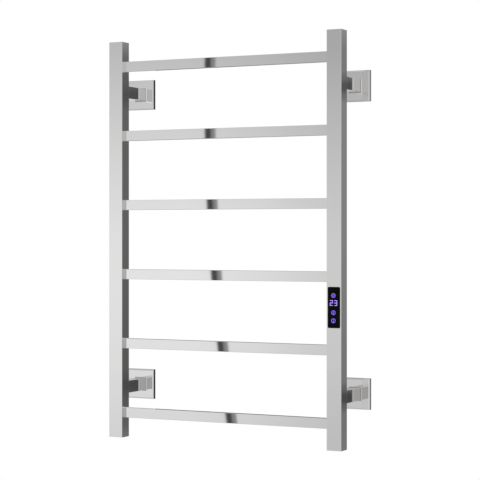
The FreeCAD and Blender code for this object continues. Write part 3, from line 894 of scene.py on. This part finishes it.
@dataclass
class InletBush:
    """The rubber bush that the supply cable enters by, at the back of the right upright."""

    finish: Finish
    bore: float = 3.6 * MM
    neck: float = 5.0 * MM
    wall: float = 1.5 * MM
    lip: float = 0.5 * MM
    lip_steps: int = 3
    steps: int = 48

    def build(self) -> None:
        """Spins the bush's section round its axis, with a groove that grips the tube's wall."""
        low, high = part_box("inlet_grommet")
        centre = (low + high) / 2
        rim = (high.x - low.x) / 2
        select_none()
        bpy.ops.mesh.primitive_plane_add(size=1.0, location=(centre.x, high.y, centre.z))
        piece = bpy.context.object
        piece.name = "inlet_bush"
        piece.data.name = "inlet_bush"
        band = (high.y - low.y - self.wall) / 2
        piece.scale = (rim - self.bore, band, 1.0)
        bpy.ops.object.transform_apply(location=False, rotation=False, scale=True)
        with editing(piece):
            bpy.ops.mesh.select_all(action="SELECT")
            bpy.ops.transform.translate(value=((rim + self.bore) / 2, -band / 2, 0.0))
            for depth, reach in ((self.wall, self.neck), (band, rim)):
                self._step(piece, depth, reach)
            pick_edges(piece, lambda a, b: min(a.x, b.x) > rim - HAIR)
            bpy.ops.mesh.bevel(offset=self.lip, segments=self.lip_steps, profile=0.5)
            bpy.ops.mesh.select_all(action="SELECT")
            axis_point = (centre.x, high.y, centre.z)
            bpy.ops.mesh.spin(
                steps=self.steps, angle=2.0 * math.pi, center=axis_point, axis=(0.0, 1.0, 0.0)
            )
            bpy.ops.mesh.select_all(action="SELECT")
            bpy.ops.mesh.remove_doubles(threshold=HAIR / 20)
            bpy.ops.mesh.delete_loose()
            pick_faces(piece, lambda c, n: abs(c.z) < HAIR / 10 and abs(n.z) > FACING and c.x > self.bore)
            bpy.ops.mesh.delete(type="ONLY_FACE")
            bpy.ops.mesh.select_all(action="SELECT")
            bpy.ops.mesh.normals_make_consistent(inside=False)
        self.finish.coat(settle(piece, 40.0))
        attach(piece, "rack")
        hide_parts("inlet_grommet")
        log.info("piece %s", piece.name)

    def _step(self, piece: bpy.types.Object, depth: float, reach: float) -> None:
        """Adds one step to the section: its far edge reaches out or in, then goes deeper.

        Args:
            piece: The bush's section, in edit mode.
            depth: How much deeper the step goes, in metres.
            reach: The step's outer radius, in metres.
        """
        far = min(vertex.co.y for vertex in bmesh.from_edit_mesh(piece.data).verts)
        pick_edges(piece, lambda a, b: max(a.y, b.y) < far + HAIR / 10)
        mesh = bmesh.from_edit_mesh(piece.data)
        outer = max(vertex.co.x for edge in mesh.edges if edge.select for vertex in edge.verts)
        bpy.ops.mesh.extrude_region_move()
        bpy.ops.transform.resize(
            value=((reach - self.bore) / (outer - self.bore), 1.0, 1.0),
            center_override=piece.matrix_world @ Vector((self.bore, far, 0.0)),
        )
        bpy.ops.mesh.extrude_region_move(TRANSFORM_OT_translate={"value": (0.0, -depth, 0.0)})


@dataclass
class CarriedParts:
    """The parts that keep their engineered shape, each given the finish that its slot names."""

    finishes: dict[str, Finish]
    grains: dict[str, Finish]

    def build(self) -> None:
        """Coats every carried part, those with their own grain first."""
        slot_of = {part["node"]: part["material_slot"] for part in frame["record"]["subparts"]}
        for name, piece in frame["nodes"].items():
            finish = self.grains.get(name) or self.finishes[slot_of[name]]
            finish.coat(piece)
            log.info("part %s: %s", name, finish.name)


# Studio


@dataclass(frozen=True)
class PaintedShadow:
    """Painted shadow: how much darker the backboard is beside one bracket, where the bracket's shadow would
    fall on a wall.

    Args:
        bracket: The bracket's name.
        edge: How dark the painted contact shadow, a thin line along the rosette's right edge, is, from 0 to
            1.
        side: How dark the painted soft shadow to the right of the rosette is, from 0 to 1.
        shift: How far the painted soft shadow lies over the rosette's middle, in metres.
    """

    bracket: str
    edge: float
    side: float
    shift: float = 0.0


@dataclass(frozen=True)
class Diffuser:
    """A soft light round one side of the studio.

    Args:
        across: The light's level by heading in degrees, 0 straight out from the rack, rising to the right.
        up: What the level is multiplied by, by height over the horizon in degrees.
    """

    across: Curve
    up: Curve

    def light(self, graph: Graph, around: Signal, above: Signal) -> Signal:
        """Returns the light at a heading and a height, both in degrees."""
        return graph.profile(around, self.across) * graph.profile(above, self.up)


@dataclass
class Studio:
    """A white studio: soft light all round, darker behind the rack, over a pale floor."""

    camera_place: tuple[float, float, float] = (1.522, -3.0465, 0.01294)
    camera_turn: float = 26.76
    lens: float = 126.5
    drop: float = -0.0141
    floor_radius: float = 4.4
    floor_height: float = -1.2
    floor_sides: int = 96
    floor_clear: tuple[float, float] = (0.35, 0.97)
    floor_colour: Colour = (0.9, 0.9, 0.9)
    floor_glow: float = 0.2
    board_gap: float = 0.0006
    board_width: float = 0.84
    board_height: float = 0.94
    stand_middle: float = 27.86
    stand_waist: float = 4.6
    stand_bow: float = 0.00616
    # Painted shadows on the backboard, one for each bracket: the edge line's and the soft patch's darkness.
    shades: tuple[PaintedShadow, ...] = (
        PaintedShadow("upper_left", 0.85, 0.30),
        PaintedShadow("upper_right", 0.0, 0.52),
        PaintedShadow("lower_left", 0.85, 0.30, -0.004),
        PaintedShadow("lower_right", 0.1, 0.55, -0.010),
    )
    left_light: Diffuser = Diffuser(
        across=(
            (-138.0, 0.0), (-115.0, 0.15), (-85.0, 0.5), (-60.0, 0.85), (-42.0, 1.0), (-31.0, 0.975),
            (-28.6, 0.972), (-27.3, 0.935), (-26.1, 0.895), (-25.4, 0.86), (-24.7, 0.818), (-23.6, 0.775),
            (-20.0, 0.82), (-12.0, 0.9), (0.0, 0.85), (6.0, 0.75), (12.0, 0.45), (22.0, 0.0),
        ),
        up=(
            (-90.0, 0.65), (-70.0, 0.6), (-45.0, 0.5), (-32.0, 0.72), (-21.0, 0.62), (-14.0, 0.76),
            (-9.0, 0.81), (-6.65, 0.865), (-4.3, 0.955), (-1.8, 1.0), (0.1, 0.98), (2.5, 0.873),
            (4.86, 0.738), (6.2, 0.655), (9.0, 0.62), (20.0, 0.67), (31.0, 0.68), (45.0, 0.4), (70.0, 0.2),
        ),
    )
    right_light: Diffuser = Diffuser(
        across=(
            (-20.0, 0.0), (-8.0, 0.05), (4.0, 0.1), (12.0, 0.35), (18.0, 0.58), (25.0, 0.64), (29.0, 0.64),
            (40.0, 0.75), (63.0, 0.82), (75.0, 0.55), (90.0, 0.3), (115.0, 0.12), (140.0, 0.0),
        ),
        up=((-30.0, 0.8), (-5.0, 0.87), (5.0, 1.13), (30.0, 1.2)),
    )
    back_light: Diffuser = Diffuser(
        across=(
            (122.0, 0.0), (138.0, 0.11), (149.4, 0.148), (156.8, 0.27), (163.0, 0.34), (175.0, 0.34),
            (186.0, 0.2), (197.0, 0.09), (213.0, 0.08), (226.0, 0.09), (240.0, 0.0),
        ),
        up=(
            (-40.0, 2.2), (-14.0, 0.9), (-6.65, 0.8), (-4.3, 0.87), (-2.3, 0.93), (0.1, 1.0),
            (5.6, 0.98), (6.3, 1.1), (9.0, 1.7), (30.0, 2.4),
        ),
    )
    ceiling: Curve = ((20.0, 0.0), (45.0, 0.12), (70.0, 0.45), (90.0, 0.55))

    def build(self) -> None:
        """Sets up the camera, the surroundings, the floor and the backboard."""
        self.camera()
        self.surroundings()
        self.floor()
        self.backboard()
        bpy.context.scene.view_settings.view_transform = "Standard"

    def camera(self) -> None:
        """Stands the camera level, to the right of the rack and turned towards it."""
        lens = bpy.data.cameras.new("camera")
        lens.lens = self.lens
        lens.shift_y = self.drop
        camera = bpy.data.objects.new("camera", lens)
        camera.location = self.camera_place
        camera.rotation_euler = (math.radians(90.0), 0.0, math.radians(self.camera_turn))
        bpy.context.scene.collection.objects.link(camera)
        bpy.context.scene.camera = camera

    def surroundings(self) -> None:
        """Lights the scene from every side, with a plain white backdrop for the camera."""
        world = bpy.data.worlds.new("studio")
        world.use_nodes = True
        bpy.context.scene.world = world
        graph = Graph(world.node_tree)
        x, y, z = graph.axes(graph.node("ShaderNodeTexCoord", {}, {}, "Generated"))
        around = x.maths("ARCTAN2", -y) * math.degrees(1.0)
        above = z.maths("ARCSINE") * math.degrees(1.0)
        turned = (around + 360.0).maths("MODULO", 360.0)
        light = self.left_light.light(graph, around, above) + self.right_light.light(graph, around, above)
        light = light + self.back_light.light(graph, turned, above) + graph.profile(above, self.ceiling)
        hides, own = self.stand(graph, around, above)
        level = light * (1.0 - hides) + own * hides
        seen = graph.node("ShaderNodeLightPath", {}, {}, "Is Camera Ray")
        colour = graph.mix(seen, graph.tint(WHITE, level), WHITE)
        shader = graph.node("ShaderNodeBackground", {}, {"Color": colour, "Strength": 1.0})
        graph.finish(shader, "ShaderNodeOutputWorld")

    def stand(self, graph: Graph, around: Signal, above: Signal) -> tuple[Signal, Signal]:
        """Describes a slim, slightly bowed stand in front of the left diffuser.

        Args:
            graph: The surroundings' node tree.
            around: The heading in degrees, 0 straight out from the rack and rising to the right.
            above: The height over the horizon in degrees.

        Returns:
            How far the stand hides the diffuser, and its own level: a dark pole with a paler cable on its
            right.
        """
        height = above - self.stand_waist
        off = around + self.stand_middle - height * height * self.stand_bow
        hides = graph.profile(off, ((-0.15, 0.0), (-0.065, 1.0), (0.22, 1.0), (0.30, 0.0)))
        hides = hides * graph.profile(above, ((-12.0, 0.0), (-9.5, 1.0), (9.5, 1.0), (12.0, 0.0)))
        own = graph.profile(off, ((-0.10, 0.06), (0.055, 0.06), (0.13, 0.25), (0.22, 0.29)))
        return hides, own

    def floor(self) -> None:
        """Lays a pale round floor that fades out at its rim."""
        select_none()
        bpy.ops.mesh.primitive_circle_add(
            vertices=self.floor_sides,
            radius=self.floor_radius,
            fill_type="NGON",
            location=(0.0, 0.0, self.floor_height),
        )
        floor = bpy.context.object
        floor.name = "studio_floor"
        settle(floor)
        graph = self.staged_material(floor)
        point = graph.object_point()
        x, y, _ = graph.axes(point)
        radius = (x * x + y * y).maths("SQRT")
        clouds = graph.noise(point, 2.2, 3.0, 0.5)
        start, end = (share * self.floor_radius for share in self.floor_clear)
        fade = graph.profile(radius, ((start, 0.0), (end, 1.0)), True)
        sockets = {
            "Base Color": graph.tint(self.floor_colour, 1.0 - 0.03 * clouds),
            "Roughness": 0.6 + 0.1 * clouds,
            "Emission Color": WHITE,
            "Emission Strength": self.floor_glow,
        }
        pale = graph.node("ShaderNodeBsdfPrincipled", {}, sockets)
        clear = graph.node("ShaderNodeBsdfTransparent", {}, {})
        graph.finish(graph.node("ShaderNodeMixShader", {}, {0: fade, 1: pale, 2: clear}))
        floor.visible_glossy = False

    def backboard(self) -> None:
        """Stands a dim board at the wall plane, seen only in the steel, with painted bracket shadows on it.
        """
        select_none()
        bpy.ops.mesh.primitive_plane_add(
            size=1.0, location=(0.0, self.board_gap, 0.0), rotation=(math.radians(90.0), 0.0, 0.0)
        )
        board = bpy.context.object
        board.name = "studio_backboard"
        board.scale = (self.board_width, self.board_height, 1.0)
        with editing(board):
            bpy.ops.mesh.select_all(action="SELECT")
            bpy.ops.mesh.subdivide(number_cuts=3)
        settle(board)
        graph = self.staged_material(board)
        x, _, z = graph.axes(graph.object_point())
        level = self.board_level(graph, x, z)
        # Painted shadows: the board is darkened beside each bracket, where the bracket's shadow would fall
        # on a wall.
        for shade in self.shades:
            level = level * self.painted_bracket_shadow(graph, x, z, shade)
        # Steel mirrored in steel sees a brighter wall, or it would go too dark.
        bounce = graph.node("ShaderNodeLightPath", {}, {}, "Glossy Depth")
        deeper = bounce.maths("GREATER_THAN", 1.5)
        level = level * (1.0 - deeper) + deeper * graph.profile(z, ((-0.4, 0.92), (0.4, 0.69)))
        light = {"Color": graph.tint(WHITE, level), "Strength": 1.0}
        graph.finish(graph.node("ShaderNodeEmission", {}, light))
        board.visible_camera = False
        board.visible_diffuse = False
        board.visible_shadow = False
        board.visible_transmission = False

    def board_level(self, graph: Graph, x: Signal, z: Signal) -> Signal:
        """Works out the board's light away from the brackets.

        Args:
            graph: The board's node tree.
            x: The place across the board, in metres.
            z: The place up the board, in metres.

        Returns:
            The light, brighter to the right, with a glow at the top and the bottom.
        """
        across = ((-0.42, 0.16), (-0.17, 0.148), (0.0, 0.17), (0.2, 0.24), (0.31, 0.27), (0.42, 0.28))
        up = (
            (-0.42, 0.85), (-0.37, 0.78), (-0.2, 0.86), (0.0, 1.0), (0.27, 1.0), (0.33, 0.9),
            (0.373, 0.89), (0.385, 0.94), (0.41, 1.16),
        )
        ends = (
            (-0.407, 0.07), (-0.39, 0.025), (-0.34, 0.0), (0.34, 0.0), (0.377, 0.03),
            (0.39, 0.055), (0.41, 0.125),
        )
        glow = graph.profile(z, ends) * graph.profile(x, ((-0.17, 1.0), (0.3, 0.0)))
        return graph.profile(x, across) * graph.profile(z, up) + glow

    def painted_bracket_shadow(self, graph: Graph, x: Signal, z: Signal, shade: PaintedShadow) -> Signal:
        """Works out the painted shadow beside one bracket.

        Args:
            graph: The board's node tree.
            x: The place across the board, in metres.
            z: The place up the board, in metres.
            shade: The bracket's painted shadow.

        Returns:
            What the board's light is multiplied by, 1 where there is no painted shadow.
        """
        low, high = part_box(f"{shade.bracket}_rosette")
        middle = (low.z + high.z) / 2
        half = (high.z - low.z) / 2
        beside = x - high.x
        off_middle = (z - middle).maths("ABSOLUTE")
        off_patch = (z - middle - shade.shift).maths("ABSOLUTE")
        # Painted contact shadow: a thin dark line hugging the rosette's right edge, over the rosette's
        # height.
        across = ((-0.006, 0.0), (-0.003, 1.0), (0.0, 1.0), (0.003, 0.75), (0.006, 0.0))
        edge = graph.profile(beside, across) * graph.profile(off_middle, ((half, 1.0), (half + 0.006, 0.0)))
        # Painted soft shadow of the bracket: a patch to the right of the rosette.
        across = ((0.003, 0.0), (0.006, 1.25), (0.02, 1.15), (0.045, 1.0), (0.09, 0.0))
        patch = graph.profile(off_patch, ((0.004, 1.0), (0.018, 0.5), (0.034, 0.0)), True)
        patch = graph.profile(beside, across) * patch
        return (1.0 - edge * shade.edge) * (1.0 - patch * shade.side)

    def staged_material(self, piece: bpy.types.Object) -> Graph:
        """Gives a part of the studio its own material, named like it.

        Args:
            piece: The floor or the backboard.

        Returns:
            The material's empty node tree.
        """
        material = bpy.data.materials.new(piece.name)
        material.use_nodes = True
        piece.data.materials.append(material)
        return Graph(material.node_tree)


def finishes() -> dict[str, Finish]:
    """Returns the finish of each material slot in the record."""
    soft = {"roughness": 0.5, "specular": 0.4, "sheen": 0.1}
    return {
        "frame_steel": Metal("upright_steel", grain=Grain.UPRIGHT),
        "bracket_steel": Metal("bracket_steel", grain=Grain.OUTWARD),
        "flange_steel": Metal(
            "zinc_plate", (0.6, 0.6, 0.61), 0.32, 0.2,
            line_scale=500.0, line_depth=4.0 * MICRON, tone_change=0.12,
        ),
        "fastener_steel": Metal(
            "screw_steel", (0.62, 0.62, 0.64), 0.22, 0.15,
            line_scale=1500.0, line_depth=3.0 * MICRON, tone_change=0.1,
        ),
        "spring_steel": Metal(
            "spring_steel", (0.66, 0.66, 0.68), 0.18, 0.1,
            line_scale=1500.0, line_depth=2.0 * MICRON, tone_change=0.08,
        ),
        "fuse_case": Metal(
            "fuse_case", (0.7, 0.7, 0.68), 0.3, 0.15, Grain.UPRIGHT,
            line_scale=900.0, line_depth=3.0 * MICRON, tone_change=0.1,
        ),
        "tinned_brass": Metal(
            "tinned_brass", (0.72, 0.70, 0.64), 0.28, 0.15,
            line_scale=900.0, line_depth=3.0 * MICRON, tone_change=0.12,
        ),
        "panel_glass": Glass("panel_glass"),
        "black_rubber": Plastic(
            "black_rubber", (0.022, 0.022, 0.023), 0.62, 0.3, 0.15,
            pore_scale=1800.0, pore_depth=30.0 * MICRON, shade_change=0.3,
        ),
        "black_plastic": Plastic("black_plastic", (0.03, 0.03, 0.033), 0.42),
        "white_plastic": Plastic("white_plastic", (0.78, 0.78, 0.76), 0.4),
        "red_silicone": Plastic("red_silicone", (0.42, 0.035, 0.025), **soft),
        "white_silicone": Plastic("white_silicone", (0.76, 0.76, 0.73), **soft),
        "lead_insulation": Plastic("lead_insulation", (0.05, 0.1, 0.33), 0.4),
        "earth_insulation": Striped("earth_insulation", (0.10, 0.30, 0.04), 0.4),
        "circuit_board": Board("circuit_board"),
    }


def main() -> None:
    """Builds the studio, the finishes and every added piece, in order."""
    slots = finishes()
    rung_steel = Metal("rung_steel", (0.804, 0.799, 0.797), grain=Grain.ACROSS)
    grains = {f"rung_{number}": rung_steel for number in range(1, 7)}
    Studio().build()
    CarriedParts(slots, grains).build()
    Welds(slots["frame_steel"]).build()
    digit_lamp = Lamp("digit_light", (0.40, 0.26, 1.0), 1.9)
    sign_lamp = Lamp("sign_light", (0.235, 0.125, 1.0), 1.3)
    TouchPanel(slots["panel_glass"], digit_lamp, sign_lamp).build()
    InletBush(slots["black_rubber"]).build()


if __name__ == "__main__":
    main()
